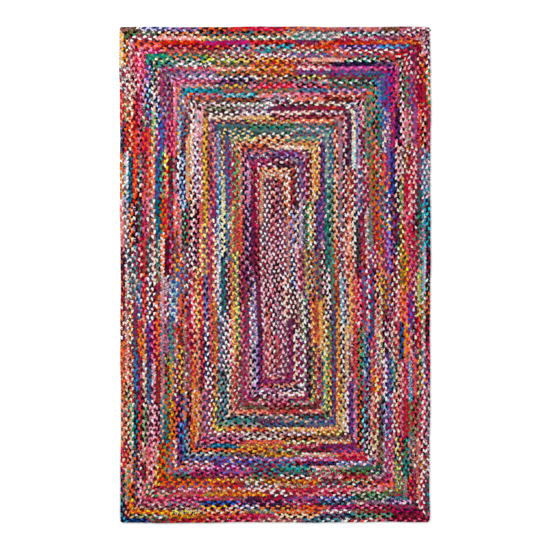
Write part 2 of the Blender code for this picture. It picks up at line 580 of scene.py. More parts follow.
EVENED = ((12, 26), (0.5, 0.9))  # how far the lightness is evened out, by turn
CONTRAST = ((12, 26), (0.35, 0.31))  # how far light strips are lightened and dark ones darkened, by turn

# The maps of a turn
BAKE_GAP = 0.16  # share of a row of the bake map left empty
CAP_ON_BAKE_MAP = 0.35  # rows of that map from the middle of a strand's end to its corners
CAP_ON_WEAVE = 0.003  # the same on the weave's map, which is in metres

# The cloth's finish and the shade painted on it, as pairs from one end of a change to the other
SEAM_DEPTHS = (0.16, 0.63)  # shares of the way from the braid's middle to its face, between which the painted seam shade fades out
SEAM_PAINTED_SHADE = (0.03, 0.82)  # painted shade: share of the cloth's colour kept down in the seams, and on the open cloth
# painted shade: share of the cloth's colour kept in the folds of its creases, and on the flat
CREASE_PAINTED_SHADE = (0.86, 1.0)
WEAR_LIGHT = (0.93, 1.05)
DOT_EDGE = (0.30, 0.38)  # of the way between dots
BLOT_EDGE = (0.50, 0.57)  # of a cloudy pattern's values, as the next
CREASE_EDGE = (0.30, 0.62)
CREASES = (45.0, 520.0, 1.0)  # creases a metre along the strip and across it
THREAD_PITCH = 0.00075  # from one thread of the weave to the next but one
CREASE_RELIEF = 0.8
PRINT_RELIEF = 0.1
THREAD_RELIEF = 0.07
COTTON_ROUGHNESS = (0.80, 0.94)
LACING_ROUGHNESS = (0.75, 0.95)
LACING_SHADES = (0.45, 1.5)  # of the thread's colour, darkest and palest
FLOOR_SHADES = (0.985, 1.0)

# The laced ground, dark as painted shade in the gaps between the lobes, and the stage
GROUND_INSET = 0.0042  # from the rug's edge
GROUND_THICKNESS = 0.0016
GROUND_CELLS = (30, 48)
FLOOR_REACH = 60.0
KEY_LIGHT = {"place": (-3.2, 2.6, 3.6), "size": 2.4}
FILL_LIGHT = {"place": (3.4, -2.8, 3.2), "size": 3.0}
SENSOR_WIDTH = 36.0
CLIP = (0.1, 200.0)

TINY = 1e-6  # keeps a number from being divided by nothing

TURN_NAME = "braid_turn_{:02d}"
GROUND_NAME = "laced_ground"
FLOOR_NAME = "studio_floor"
LENGTH = {"subtype": "DISTANCE", "unit": "LENGTH"}
POWER = {"subtype": "POWER", "unit": "POWER"}


def braid_width():
    return RUG_WIDTH / (2 * TURNS + 1)


# ---------------------------------------------------------------- settings


def colour_property(name, description, colour):
    return bpy.props.FloatVectorProperty(
        name=name, description=description, subtype="COLOR_GAMMA", size=3, min=0.0, max=1.0, default=colour
    )


def number_property(name, description, low, high, default, **kind):
    """A number that the user can change, with its subtype and unit where it has them."""
    return bpy.props.FloatProperty(
        name=name, description=description, min=low, max=high, default=default, **kind
    )


class RugRagBag(bpy.types.PropertyGroup):
    """The cloths that the strips are cut from."""

    __annotations__ = {
        name: colour_property(name.capitalize(), f"Colour of the {name} cloth in daylight", colour)
        for name, colour in CLOTHS.items()
    }


class RugBraid(bpy.types.PropertyGroup):
    """How the braid is plaited and wound."""

    plait_length: number_property(
        "Plait length", "Length of braid in which a strand crosses over and back",
        0.03, 0.1, 0.0486, **LENGTH
    )
    strand_width: number_property(
        "Strand width", "Width of one folded strip in the braid",
        0.006, 0.018, 0.0131, **LENGTH
    )
    strand_thickness: number_property(
        "Strand thickness", "Thickness of one folded strip in the braid",
        0.002, 0.006, 0.0044, **LENGTH
    )
    bank: number_property(
        "Bank", "How far a strand rolls where it slips over its neighbour",
        0.0, 0.8, math.radians(19.0), subtype="ANGLE", unit="ROTATION"
    )
    wander: number_property(
        "Wander", "How far the hand-laced rows stray from straight",
        0.0, 0.01, 0.0026, **LENGTH
    )
    unevenness: number_property(
        "Unevenness", "How much the plaits differ in size", 0.0, 0.3, 0.14, subtype="FACTOR"
    )
    # The thread's dark colour, which the laced ground also takes, is painted shade in the gaps between the
    # lobes.
    thread_colour: colour_property(
        "Thread", "Colour of the lacing thread in daylight", (0.10, 0.06, 0.07)
    )


class RugStage(bpy.types.PropertyGroup):
    """The floor, the light and the camera."""

    floor_colour: colour_property("Floor", "Colour of the pale floor in daylight", (0.95, 0.95, 0.95))
    key_power: number_property(
        "Key light", "Power of the soft light at the rug's left shoulder",
        0.0, 2000.0, 245.0, **POWER
    )
    fill_power: number_property(
        "Fill light", "Power of the soft light at the rug's right foot",
        0.0, 2000.0, 92.0, **POWER
    )
    sky_strength: number_property("Room light", "Strength of the even light of the room", 0.0, 5.0, 0.65)
    view_width: number_property(
        "View width", "Width of floor that the camera takes in",
        1.0, 10.0, 2.706, **LENGTH
    )
    lens: number_property(
        "Lens", "Focal length of the camera",
        35.0, 300.0, 100.0, subtype="DISTANCE_CAMERA", unit="CAMERA"
    )


# ---------------------------------------------------------------- small tools


def linear(colour):
    """A colour as it looks in daylight, as the renderer's light."""
    return tuple(c / 12.92 if c <= 0.04045 else ((c + 0.055) / 1.055) ** 2.4 for c in colour)


def shades(colour, amounts):
    """A colour darkened or lightened, once for each amount."""
    return [tuple(amount * c for c in linear(colour)) + (1.0,) for amount in amounts]


def smoothstep(x):
    x = np.clip(x, 0.0, 1.0)
    return x * x * (3.0 - 2.0 * x)


def between(ends, share):
    """From the first end to the second, as the share goes from 0 to 1."""
    return ends[0] + (ends[1] - ends[0]) * share


def spread_out(grid, times):
    """Blurs a grid of places a little, so many times over."""
    for _ in range(times):
        for axis in (0, 1):
            grid = (np.roll(grid, 1, axis) + 2 * grid + np.roll(grid, -1, axis)) / 4
    return grid


def add_object(name, mesh, material):
    mesh.materials.clear()
    mesh.materials.append(material)
    made = bpy.data.objects.new(name, mesh)
    bpy.context.scene.collection.objects.link(made)
    return made


def add_formed(name, bm, material):
    """A finished bmesh as a piece of its own."""
    mesh = bpy.data.meshes.new(name)
    bm.to_mesh(mesh)
    bm.free()
    return add_object(name, mesh, material)


# ---------------------------------------------------------------- the winding


class Winding:
    """The braid's centre line, with the way from a place on the braid to a place on the floor.

    A place on the braid is (along, out): metres along the centre line, and metres from it towards
    the braid's outer edge, which is on the left of someone walking along it."""

    def __init__(self, width):
        self.width = width
        self.corners, self.leg_turns, self.leg_sides = self.find_corners()
        legs = np.diff(self.corners, axis=0)
        self.lengths = np.hypot(legs[:, 0], legs[:, 1])
        self.ahead = legs / self.lengths[:, None]
        self.left = np.column_stack((-self.ahead[:, 1], self.ahead[:, 0]))
        self.starts = np.concatenate(([0.0], np.cumsum(self.lengths)[:-1]))
        self.total = float(self.lengths.sum())

    def find_corners(self):
        half = (RUG_LENGTH - RUG_WIDTH) / 2
        corners = [(0.0, -half)]
        turns = []
        sides = []
        for turn in range(TURNS + 1):
            reach = turn * self.width
            if turn > 0:
                corners.append((reach, -half - reach))
                corners.append((-reach, -half - reach))
                turns += [turn, turn]
                sides += ["right", "bottom"]
            corners.append((-reach, half + reach))
            outer = reach if turn == TURNS else reach + self.width
            corners.append((outer, half + reach))
            turns += [turn, turn]
            sides += ["left", "top"]
        return np.array(corners), turns, sides

    def span_of_turn(self, turn):
        legs = [k for k, number in enumerate(self.leg_turns) if number == turn]
        return self.starts[legs[0]], self.starts[legs[-1]] + self.lengths[legs[-1]]

    def place(self, along, out):
        """Places on the braid, put on the floor. Each edge is mitred at a corner, with the plaits
        stretched outside and crowded inside, and then bent round by the same small curve."""
        last = len(self.lengths) - 1
        leg = np.clip(np.searchsorted(self.starts, along, side="right") - 1, 0, last)
        length = self.lengths[leg]
        from_corner = along - self.starts[leg]
        to_corner = length - from_corner
        turned_before = leg > 0
        turns_after = leg < last
        reach = np.minimum(MITRE_REACH * self.width, length / 2)
        run = from_corner.copy()
        run += np.where(turns_after, out * np.clip(1 - to_corner / reach, 0.0, 1.0), 0.0)
        run -= np.where(turned_before, out * np.clip(1 - from_corner / reach, 0.0, 1.0), 0.0)
        spot = self.corners[leg] + self.ahead[leg] * run[:, None] + self.left[leg] * out[:, None]

        edge_length = length + out * turned_before + out * turns_after
        bend = np.maximum(np.minimum(CORNER_BEND * self.width, edge_length / 2), TINY)
        before = np.maximum(length + out - run, 0.0)
        after = np.maximum(run + out, 0.0)
        arriving = turns_after & (before < bend)
        leaving = turned_before & (after < bend) & ~arriving
        ahead = self.ahead[leg]
        next_ahead = self.ahead[np.minimum(leg + 1, last)]
        past_ahead = self.ahead[np.maximum(leg - 1, 0)]
        way = np.where(arriving, (bend - before) / (2 * bend), (bend + after) / (2 * bend))
        back = np.where(arriving, before, 0.0) - bend * (1 - way) ** 2
        forth = bend * way**2 - np.where(leaving, after, 0.0)
        bent = np.where(
            arriving[:, None],
            back[:, None] * ahead + forth[:, None] * next_ahead,
            back[:, None] * past_ahead + forth[:, None] * ahead,
        )
        return spot + np.where((arriving | leaving)[:, None], bent, 0.0)


class HandLacing:
    """The slow stray of the rows, the same for every row that passes a place."""

    def __init__(self, size, rng):
        self.size = size
        self.waves = []
        for wavelength, share in LACING_WAVES:
            heading = rng.uniform(0.0, 2 * math.pi)
            phases = rng.uniform(0.0, 2 * math.pi, 2)
            self.waves.append((2 * math.pi / wavelength, heading, phases, share))

    def shift(self, spots):
        moved = spots.copy()
        for number, heading, phases, share in self.waves:
            across = spots[:, 0] * math.cos(heading) + spots[:, 1] * math.sin(heading)
            upward = spots[:, 1] * math.cos(heading) - spots[:, 0] * math.sin(heading)
            moved[:, 0] += self.size * share * np.sin(number * across + phases[0])
            moved[:, 1] += self.size * share * np.sin(number * upward + phases[1])
        pull = np.exp(-(((spots[:, 1] - LEAN_PLACE) / LEAN_REACH) ** 2))
        inside = np.clip(1 - (spots[:, 0] / (RUG_WIDTH / 2)) ** 2, 0.0, 1.0) ** 2
        moved[:, 0] += LEAN * pull * inside
        return moved


class Pace:
    """Where each plait lies on the braid, counted from the braid's start. The first turns are plaited
    tighter, and the braider's hands keep no length for long."""

    def __init__(self, winding, plait_length, rng):
        self.along = np.arange(-SPARE, winding.total + SPARE, PACE_STEP)
        turn = np.interp(self.along, winding.starts, winding.leg_turns)
        knots = int((winding.total + 2 * SPARE) / PACE_HOLDS) + 3
        stray = rng.normal(0.0, PACE_STRAY, knots).clip(-2 * PACE_STRAY, 2 * PACE_STRAY)
        at_knot = (self.along + SPARE) / PACE_HOLDS
        tight = 1 - TIGHT_START * np.exp(-((turn / TIGHT_TURNS) ** 2))
        self.lengths = plait_length * tight * (1 + np.interp(at_knot, np.arange(knots), stray))
        steps = np.diff(self.along) * 2 / (self.lengths[1:] + self.lengths[:-1])
        counts = np.concatenate(([0.0], np.cumsum(steps)))
        self.counts = counts - np.interp(0.0, self.along, counts)

    def count_at(self, along):
        return np.interp(along, self.along, self.counts)

    def along_at(self, count):
        return np.interp(count, self.counts, self.along)

    def length_at(self, count):
        return np.interp(count, self.counts, self.lengths)


# ---------------------------------------------------------------- the strips of cloth


def read_stretches(text):
    """One side of a turn from the chart: its parts, each a list of stretches with a cloth for each
    strand. A side with three parts has the stretches by its corners apart."""
    groups = [[part.split() for part in group.split("/")] for group in text.split("|")]
    for cloths in (cloths for stretches in groups for cloths in stretches):
        if len(cloths) != STRANDS or any(cloth not in CLOTHS for cloth in cloths):
            raise ValueError(f"the chart has a stretch it can't braid: {cloths}")
    if len(groups) not in (1, 3):
        raise ValueError(f"the chart has a side with {len(groups)} parts: {text}")
    return groups


def place_stretches(groups, side, corner, length):
    """(metres from the side's first corner, length, cloths) for each stretch of one side."""
    first, last = CHARTED[side]
    from_middle = corner[1] if side in ("left", "right") else corner[0]
    begins = min(max(abs(from_middle) - abs(first), 0.0), length)
    ends = min(max(abs(last - from_middle), begins), length)
    if len(groups) == 1:
        spans = [(begins, ends)]
    else:
        begins = max(begins, CORNER_STRETCH)
        ends = min(ends, length - CORNER_STRETCH)
        spans = [(0.0, begins), (begins, ends), (ends, length)]
    placed = []
    for (low, high), stretches in zip(spans, groups):
        reach = (high - low) / len(stretches)
        for k, cloths in enumerate(stretches):
            placed.append((low + k * reach, reach, cloths))
    placed[0] = (0.0, placed[0][0] + placed[0][1], placed[0][2])
    placed[-1] = (placed[-1][0], length - placed[-1][0], placed[-1][2])
    return placed


class Strips:
    """What each strand is made of, lobe by lobe. A lobe is a strand's rise over the braid."""

    def __init__(self, winding, pace, bag, rng):
        self.pace = pace
        self.colours = {name: np.array(linear(getattr(bag, name))) for name in CLOTHS}
        lobes = int(2 * pace.count_at(winding.total)) + SPARE_LOBES
        self.cloth = np.full((STRANDS, lobes, 3), UNLAID)
        self.figure = np.zeros((STRANDS, lobes, 4))
        for strand, strips in enumerate(self.cut_strips(winding, rng)):
            self.lay_strips(strand, strips, rng)
        self.blend_strips(winding)

    def cut_strips(self, winding, rng):
        """For each strand, (metres along the braid, cloth, whether its turn keeps close to the chart)
        for each of its strips. Now and then the braider takes another cloth than the chart's."""
        chart = {turn.number: turn for turn in BRAIDING_CHART}
        strands = [[] for _ in range(STRANDS)]
        for leg, (number, side) in enumerate(zip(winding.leg_turns, winding.leg_sides)):
            groups = read_stretches(getattr(chart[number], side))
            placed = place_stretches(groups, side, winding.corners[leg], winding.lengths[leg])
            charted = number < MOSTLY_CHARTED
            odd_share = ODD_STRIPS[not charted]
            for begins, reach, cloths in placed:
                for strand, cloth in enumerate(cloths):
                    stray = rng.uniform(-STRETCH_STRAY, STRETCH_STRAY)
                    start = winding.starts[leg] + begins + stray * reach
                    end = winding.starts[leg] + begins + reach * (1 + STRETCH_STRAY)
                    odd = False
                    while start < end - LAST_STRIP:
                        taken = cloth
                        if odd:
                            taken = ODD_CLOTHS[rng.integers(len(ODD_CLOTHS))]
                        elif strand == STRANDS - 1 and rng.uniform() < LEFT_OUT[not charted]:
                            taken = (cloths[0],) if rng.uniform() < LIKE_THE_FIRST else DARK_CLOTHS
                            taken = taken[rng.integers(len(taken))]
                        strands[strand].append((start, taken, charted))
                        start += rng.uniform(*(ODD_LASTS if odd else STRIP_LASTS)[not charted])
                        odd = rng.uniform() < odd_share
        for strips in strands:
            strips.sort()
            strips[0] = (-SPARE,) + strips[0][1:]
        return strands

    def lay_strips(self, strand, strips, rng):
        """Fills in the strand's lobes. A strip has its own shade, and its print, if it has one, shows
        more on some lobes than on others."""
        starts = [max(self.lobe_at(start, strand) - FIRST_LOBE, 0) for start, _, _ in strips]
        for (_, cloth, charted), first, last in zip(strips, starts, starts[1:] + [self.cloth.shape[1]]):
            if last <= first:
                continue
            count = last - first
            shade = math.exp(rng.normal(0.0, STRIP_SHADES))
            if self.colours[cloth] @ LUMINANCE > PALE:
                shade *= rng.uniform(*GREYED[strand == STRANDS - 1 and not charted])
            plain = self.colours[cloth] * shade
            other = self.colours[FIGURES[rng.integers(len(FIGURES))]]
            printed = rng.uniform() < PRINTED_STRIPS
            lobe_shade = np.exp(rng.normal(0.0, LOBE_SHADES, (count, 1)))
            if printed:
                share = rng.choice(PRINT_SHARES, size=(count, 1), p=PRINT_CHANCES[not charted])
            else:
                share = rng.uniform(0.0, PLAIN_SHARE, (count, 1))
            mixed = plain * lobe_shade * (1 - share) + other * share
            self.cloth[strand, first:last] = np.clip(mixed, 0.0, PALEST)
            self.figure[strand, first:last, :3] = np.clip(other * shade, 0.0, PALEST)
            self.figure[strand, first:last, 3] = rng.choice(PRINT_KINDS) if printed else PLAIN

    def blend_strips(self, winding):
        """Leans each strip towards the hue of the braid round it, as cloths of one batch do, evens out
        the lightness over a wide stretch, and sets light and dark strips off against each other."""
        lobes = np.arange(self.cloth.shape[1]) + FIRST_LOBE
        side = np.where(lobes % 2 == 0, LOBE_OUT, -LOBE_OUT) * winding.width
        shape = tuple(int(size / BLEND_CELL) + SPARE_CELLS for size in (RUG_WIDTH, RUG_LENGTH))
        cells, turns = [], []
        total = np.zeros(shape + (5,))  # hue in three parts, lightness, and the count of lobes
        for strand in range(STRANDS):
            along = self.pace.along_at(lobes / 2 + LOBE_TOP - strand / STRANDS)
            cell = winding.place(along, side) / BLEND_CELL + np.array(shape) / 2
            cell = np.clip(cell.astype(int), 0, np.array(shape) - 1)
            cells.append((cell[:, 0], cell[:, 1]))
            turns.append(np.interp(along, winding.starts, winding.leg_turns))
            tone = np.sqrt(self.cloth[strand] @ LUMINANCE)[:, None]
            row = np.concatenate((self.cloth[strand] / tone, tone, np.ones_like(tone)), axis=1)
            np.add.at(total, cells[strand], row)
        near = spread_out(total, 1)
        hue = near[..., :3] / np.maximum(near[..., :3] @ LUMINANCE, TINY)[..., None]
        wide = spread_out(near, WIDE_BLURS)
        tone = wide[..., 3] / np.maximum(wide[..., 4], TINY)
        usual = total[..., 3].sum() / total[..., 4].sum()
        for strand in range(STRANDS):
            light = (self.cloth[strand] @ LUMINANCE)[:, None]
            own = self.cloth[strand] / light
            plainness = 1 - np.clip(np.ptp(own, axis=1, keepdims=True), 0.0, 1.0)
            alike = between(ALIKE, plainness)
            mixed = (1 - alike) * own + alike * hue[cells[strand]]
            strength = np.interp(turns[strand], *HUE_STRENGTH)[:, None]
            even = np.interp(turns[strand], *EVENED)
            stretch = np.maximum(tone[cells[strand]], DARKEST_STRETCH)
            evened = light * ((usual / stretch) ** even)[:, None]
            contrast = np.interp(turns[strand], *CONTRAST)[:, None]
            evened *= (light / usual**2) ** contrast
            self.cloth[strand] = np.clip(evened * (1 + strength * (mixed - 1)), 0.0, PALEST)

    def lobe_at(self, along, strand):
        return int(math.floor(2 * (self.pace.count_at(along) + strand / STRANDS)))


# ---------------------------------------------------------------- the plaited strands


class Plaiter:
    """Plaits one turn of the braid after the other, each as one joined mesh."""

    def __init__(self, braid, bag):
        self.braid = braid
        self.rng = np.random.default_rng(SEED)
        self.winding = Winding(braid_width())
        self.lacing = HandLacing(braid.wander, self.rng)
        self.pace = Pace(self.winding, braid.plait_length, self.rng)
        self.strips = Strips(self.winding, self.pace, bag, self.rng)
        rings = int(self.pace.count_at(self.winding.total) * RINGS_A_PLAIT) + 2 * RINGS_BEFORE
        self.jitter = self.smooth_jitter(rings)

    def smooth_jitter(self, rings):
        """Small differences between the plaits, for each strand and ring: width, thickness, stray
        across and stray along the braid."""
        knots = rings // 2 + 2
        raw = self.rng.normal(0.0, 1.0, (STRANDS, 4, knots)).clip(-2.0, 2.0)
        at = np.arange(rings) / 2
        jitter = np.empty((STRANDS, 4, rings))
        for strand in range(STRANDS):
            for k in range(4):
                jitter[strand, k] = np.interp(at, np.arange(knots), raw[strand, k])
        return jitter

    def ring_at(self, along, strand):
        """The ring nearest to a place on the braid at which the strand lies beneath."""
        ring = (self.pace.count_at(along) + strand / STRANDS) * RINGS_A_PLAIT
        return int(round((ring - UNDER_RING) / RINGS_A_LOBE)) * RINGS_A_LOBE + UNDER_RING

    def rings_of_turn(self, turn, strand):
        start, end = self.winding.span_of_turn(turn)
        if turn == 0:
            start -= END_REACH * self.winding.width
        if turn == TURNS:
            end += END_REACH * self.winding.width
        return np.arange(self.ring_at(start, strand), self.ring_at(end, strand) + 1)

    def strand_points(self, strand, rings):
        """The strand's skin: one five-cornered section for each ring."""
        braid = self.braid
        width, thickness, across, along = self.jitter[strand][:, rings + RINGS_BEFORE]
        angle = rings * (2 * math.pi / RINGS_A_PLAIT)
        count = rings / RINGS_A_PLAIT - strand / STRANDS
        where = self.pace.along_at(count)
        pace = self.pace.length_at(count) / (2 * math.pi)
        tuck = END_TUCK * self.winding.width
        to_end = np.minimum(where + tuck, self.winding.total + tuck - where)
        full = between(END_SIZES, smoothstep(to_end / (END_TAPER * self.winding.width)))
        wider = 1 + braid.unevenness * width
        thicker = 1 + THICKNESS_STRAY * braid.unevenness * thickness
        half_width = braid.strand_width / 2 * wider * full
        half_thick = braid.strand_thickness / 2 * thicker * full
        widest = WIDEST * self.winding.width
        swing = (widest - braid.strand_width / 2) * full
        out = swing * np.sin(angle) + STRAY_ACROSS * across
        height = RUG_THICKNESS / 4 * LIFT * np.sin(2 * angle)
        where = where + STRAY_ALONG * along

        slope = swing * np.cos(angle) / pace
        size = np.hypot(1.0, slope)
        side_along, side_out = -slope / size, 1.0 / size
        roll = braid.bank * np.cos(angle)
        section = np.array(STRAND_SECTION)
        flat = half_width[:, None] * section[None, :, 0]
        deep = half_thick[:, None] * section[None, :, 1]
        wide = flat * np.cos(roll)[:, None] - deep * np.sin(roll)[:, None]
        tall = flat * np.sin(roll)[:, None] + deep * np.cos(roll)[:, None]
        s = where[:, None] + side_along[:, None] * wide
        outer = np.where(self.on_edge(where), OUTER_EDGE * self.winding.width, widest)
        u = np.clip(out[:, None] + side_out[:, None] * wide, -widest, outer[:, None])
        z = np.clip(RUG_THICKNESS / 2 + height[:, None] + tall, 0.0, None)
        spots = self.lacing.shift(self.winding.place(s.ravel(), u.ravel()))
        return np.column_stack((spots, z.ravel()))

    def on_edge(self, where):
        """Whether a place on the braid's centre line lies on the outermost way round."""
        legs = np.searchsorted(self.winding.starts, where, side="right") - 1
        return legs >= len(self.winding.lengths) - LEGS_A_TURN

    def skin_faces(self, count, first_vertex):
        """Quads between the rings of one strand."""
        ring = np.arange(count - 1)[:, None] * AROUND + first_vertex
        k = np.arange(AROUND)[None, :]
        after = (k + 1) % AROUND
        quads = np.stack((ring + k, ring + k + AROUND, ring + after + AROUND, ring + after), axis=-1)
        return quads.reshape(-1, 4)

    def plait_turn(self, turn, material):
        """One turn: its strands' arrays, one after the other. The weave's map runs along the strip and
        round it in metres, and the bake map holds the strands cut into rows."""
        points, quads, caps = [], [], []
        cloth, figure, weave, bake = [], [], [], []
        runs = [self.rings_of_turn(turn, strand) for strand in range(STRANDS)]
        spans = sum(len(rings) - 1 for rings in runs)
        girth = GIRTH * self.braid.strand_width
        step = self.braid.plait_length / RINGS_A_PLAIT * SLANT
        row_spans = max(1, int(math.ceil(math.sqrt(spans * girth / step))))
        rows = math.ceil(spans / row_spans) + 1
        corner_step = np.array((0.0, 1.0, 1.0, 0.0))[None, None, :]
        corner_side = np.array((0.0, 0.0, 1.0, 1.0))[None, None, :]
        wound = np.arange(AROUND)[None, :, None] + corner_side
        first_vertex, first_span = 0, 0
        for strand, rings in enumerate(runs):
            points.append(self.strand_points(strand, rings))
            quads.append(self.skin_faces(len(rings), first_vertex))
            last_ring = first_vertex + (len(rings) - 1) * AROUND
            caps.append([first_vertex + k for k in range(AROUND)])
            caps.append([last_ring + k for k in reversed(range(AROUND))])
            lobes = rings // RINGS_A_LOBE - FIRST_LOBE
            cloth.append(np.repeat(self.strips.cloth[strand, lobes], AROUND, axis=0))
            figure.append(np.repeat(self.strips.figure[strand, lobes], AROUND, axis=0))
            run = (rings[:-1] * step)[:, None, None]
            weave.append(self.map_corners(run + corner_step * step, wound / AROUND * girth))
            span = (first_span + np.arange(len(rings) - 1))[:, None, None]
            bake_u = (span % row_spans + corner_step) / row_spans
            bake_v = (span // row_spans + BAKE_GAP / 2 + (1 - BAKE_GAP) * wound / AROUND) / rows
            bake.append(self.map_corners(bake_u, bake_v))
            first_vertex += len(rings) * AROUND
            first_span += len(rings) - 1
        return self.join_strands(turn, material, points, quads, caps, cloth, figure, weave, bake, rows)

    def map_corners(self, u, v):
        """The faces' corners on a map, one after the other."""
        return np.stack(np.broadcast_arrays(u, v), axis=-1).reshape(-1, 2)

    def join_strands(self, turn, material, points, quads, caps, cloth, figure, weave, bake, rows):
        """One mesh from the strands' arrays, with its colours and its two maps."""
        points, quads, cloth, figure = map(np.concatenate, (points, quads, cloth, figure))
        mesh = bpy.data.meshes.new(TURN_NAME.format(turn))
        loops = np.concatenate((quads.ravel(), np.array(caps).ravel()))
        sizes = np.concatenate((np.full(len(quads), 4), np.full(len(caps), AROUND)))
        mesh.vertices.add(len(points))
        mesh.vertices.foreach_set("co", points.ravel().astype(np.float32))
        mesh.loops.add(len(loops))
        mesh.loops.foreach_set("vertex_index", loops.astype(np.int32))
        mesh.polygons.add(len(sizes))
        starts = np.concatenate(([0], np.cumsum(sizes)[:-1]))
        mesh.polygons.foreach_set("loop_start", starts.astype(np.int32))
        smooth = np.ones(len(sizes), dtype=bool)
        smooth[len(quads):] = False
        mesh.polygons.foreach_set("use_smooth", smooth)
        fifths = [2 * math.pi * k / AROUND for k in range(AROUND)]
        rosette = np.array([(math.cos(fifth), math.sin(fifth)) for fifth in fifths])
        for k in range(len(caps)):
            centre = np.array(((k + 0.5) / len(caps), 1 - 0.5 / rows))
            bake.append(centre + CAP_ON_BAKE_MAP / rows * rosette)
            weave.append(CAP_ON_WEAVE * rosette)
        for name, corners in (("weave", weave), ("OFBake", bake)):
            layer = mesh.uv_layers.new(name=name)
            layer.data.foreach_set("uv", np.concatenate(corners).ravel().astype(np.float32))
        opaque = np.column_stack((cloth, np.ones(len(cloth))))
        for name, values in (("cloth", opaque), ("figure", figure)):
            layer = mesh.attributes.new(name, "FLOAT_COLOR", "POINT")
            layer.data.foreach_set("color", values.ravel().astype(np.float32))
        mesh.update(calc_edges=True)
        if mesh.validate():
            raise RuntimeError(f"turn {turn} of the braid has faults in its mesh")
        return add_object(TURN_NAME.format(turn), mesh, material)


# ---------------------------------------------------------------- materials


class Socket:
    """A node's output, for writing shader maths as plain expressions."""

    def __init__(self, shading, socket):
        self.shading = shading
        self.socket = socket

    def join(self, operation, first, second):
        node = self.shading.node("ShaderNodeMath", {"operation": operation}, {0: first, 1: second})
        return node["Value"]

    def __add__(self, other):
        return self.join("ADD", self, other)

    def __radd__(self, other):
        return self.join("ADD", other, self)

    def __sub__(self, other):
        return self.join("SUBTRACT", self, other)

    def __rsub__(self, other):
        return self.join("SUBTRACT", other, self)

    def __mul__(self, other):
        return self.join("MULTIPLY", self, other)

    def __rmul__(self, other):
        return self.join("MULTIPLY", other, self)

    def __truediv__(self, other):
        return self.join("DIVIDE", self, other)

    def __abs__(self):
        return self.shading.node("ShaderNodeMath", {"operation": "ABSOLUTE"}, {0: self})["Value"]


class Made:
    """A node that has been added. Its outputs are found by name or number."""

    def __init__(self, shading, node):
        self.shading = shading
        self.node = node

    def __getitem__(self, name):
        return Socket(self.shading, self.node.outputs[name])


class Shading:
    """One material's nodes."""

    def __init__(self, name):
        self.material = bpy.data.materials.new(name)
        self.material.use_nodes = True
        self.tree = self.material.node_tree
        self.shader = self.tree.nodes["Principled BSDF"]

    def node(self, kind, settings=None, sockets=None):
        """Adds a node: its settings first, then the values or links of its sockets."""
        node = self.tree.nodes.new(kind)
        for name, value in (settings or {}).items():
            setattr(node, name, value)
        for key, value in (sockets or {}).items():
            self.feed(node.inputs[key], value)
        return Made(self, node)

    def feed(self, socket, value):
        if isinstance(value, Socket):
            self.tree.links.new(value.socket, socket)
        else:
            socket.default_value = value

    def ramp_value(self, value, low, high):
        """0 below low, 1 above high, and smooth between."""
        return self.node(
            "ShaderNodeMapRange",
            {"interpolation_type": "SMOOTHSTEP"},
            {"Value": value, "From Min": low, "From Max": high, "To Min": 0.0, "To Max": 1.0},
        )["Result"]

    def mix(self, factor, first, second, blend="MIX"):
        """Two colours mixed. Their sockets share their names with others, so they go by number."""
        settings = {"data_type": "RGBA", "blend_type": blend}
        return self.node("ShaderNodeMix", settings, {0: factor, 6: first, 7: second})[2]

    def noise(self, vector, scale, detail, roughness, dimensions="3D"):
        return self.node(
            "ShaderNodeTexNoise",
            {"noise_dimensions": dimensions},
            {"Vector": vector, "Scale": scale, "Detail": detail, "Roughness": roughness},
        )["Fac"]

    def sine(self, value):
        return self.node("ShaderNodeMath", {"operation": "SINE"}, {0: value})["Value"]

    def bump(self, height, strength, distance):
        sockets = {"Height": height, "Strength": strength, "Distance": distance}
        return self.node("ShaderNodeBump", None, sockets)["Normal"]

    def finish(self, sockets):
        for name, value in sockets.items():
            self.feed(self.shader.inputs[name], value)
        return self.material


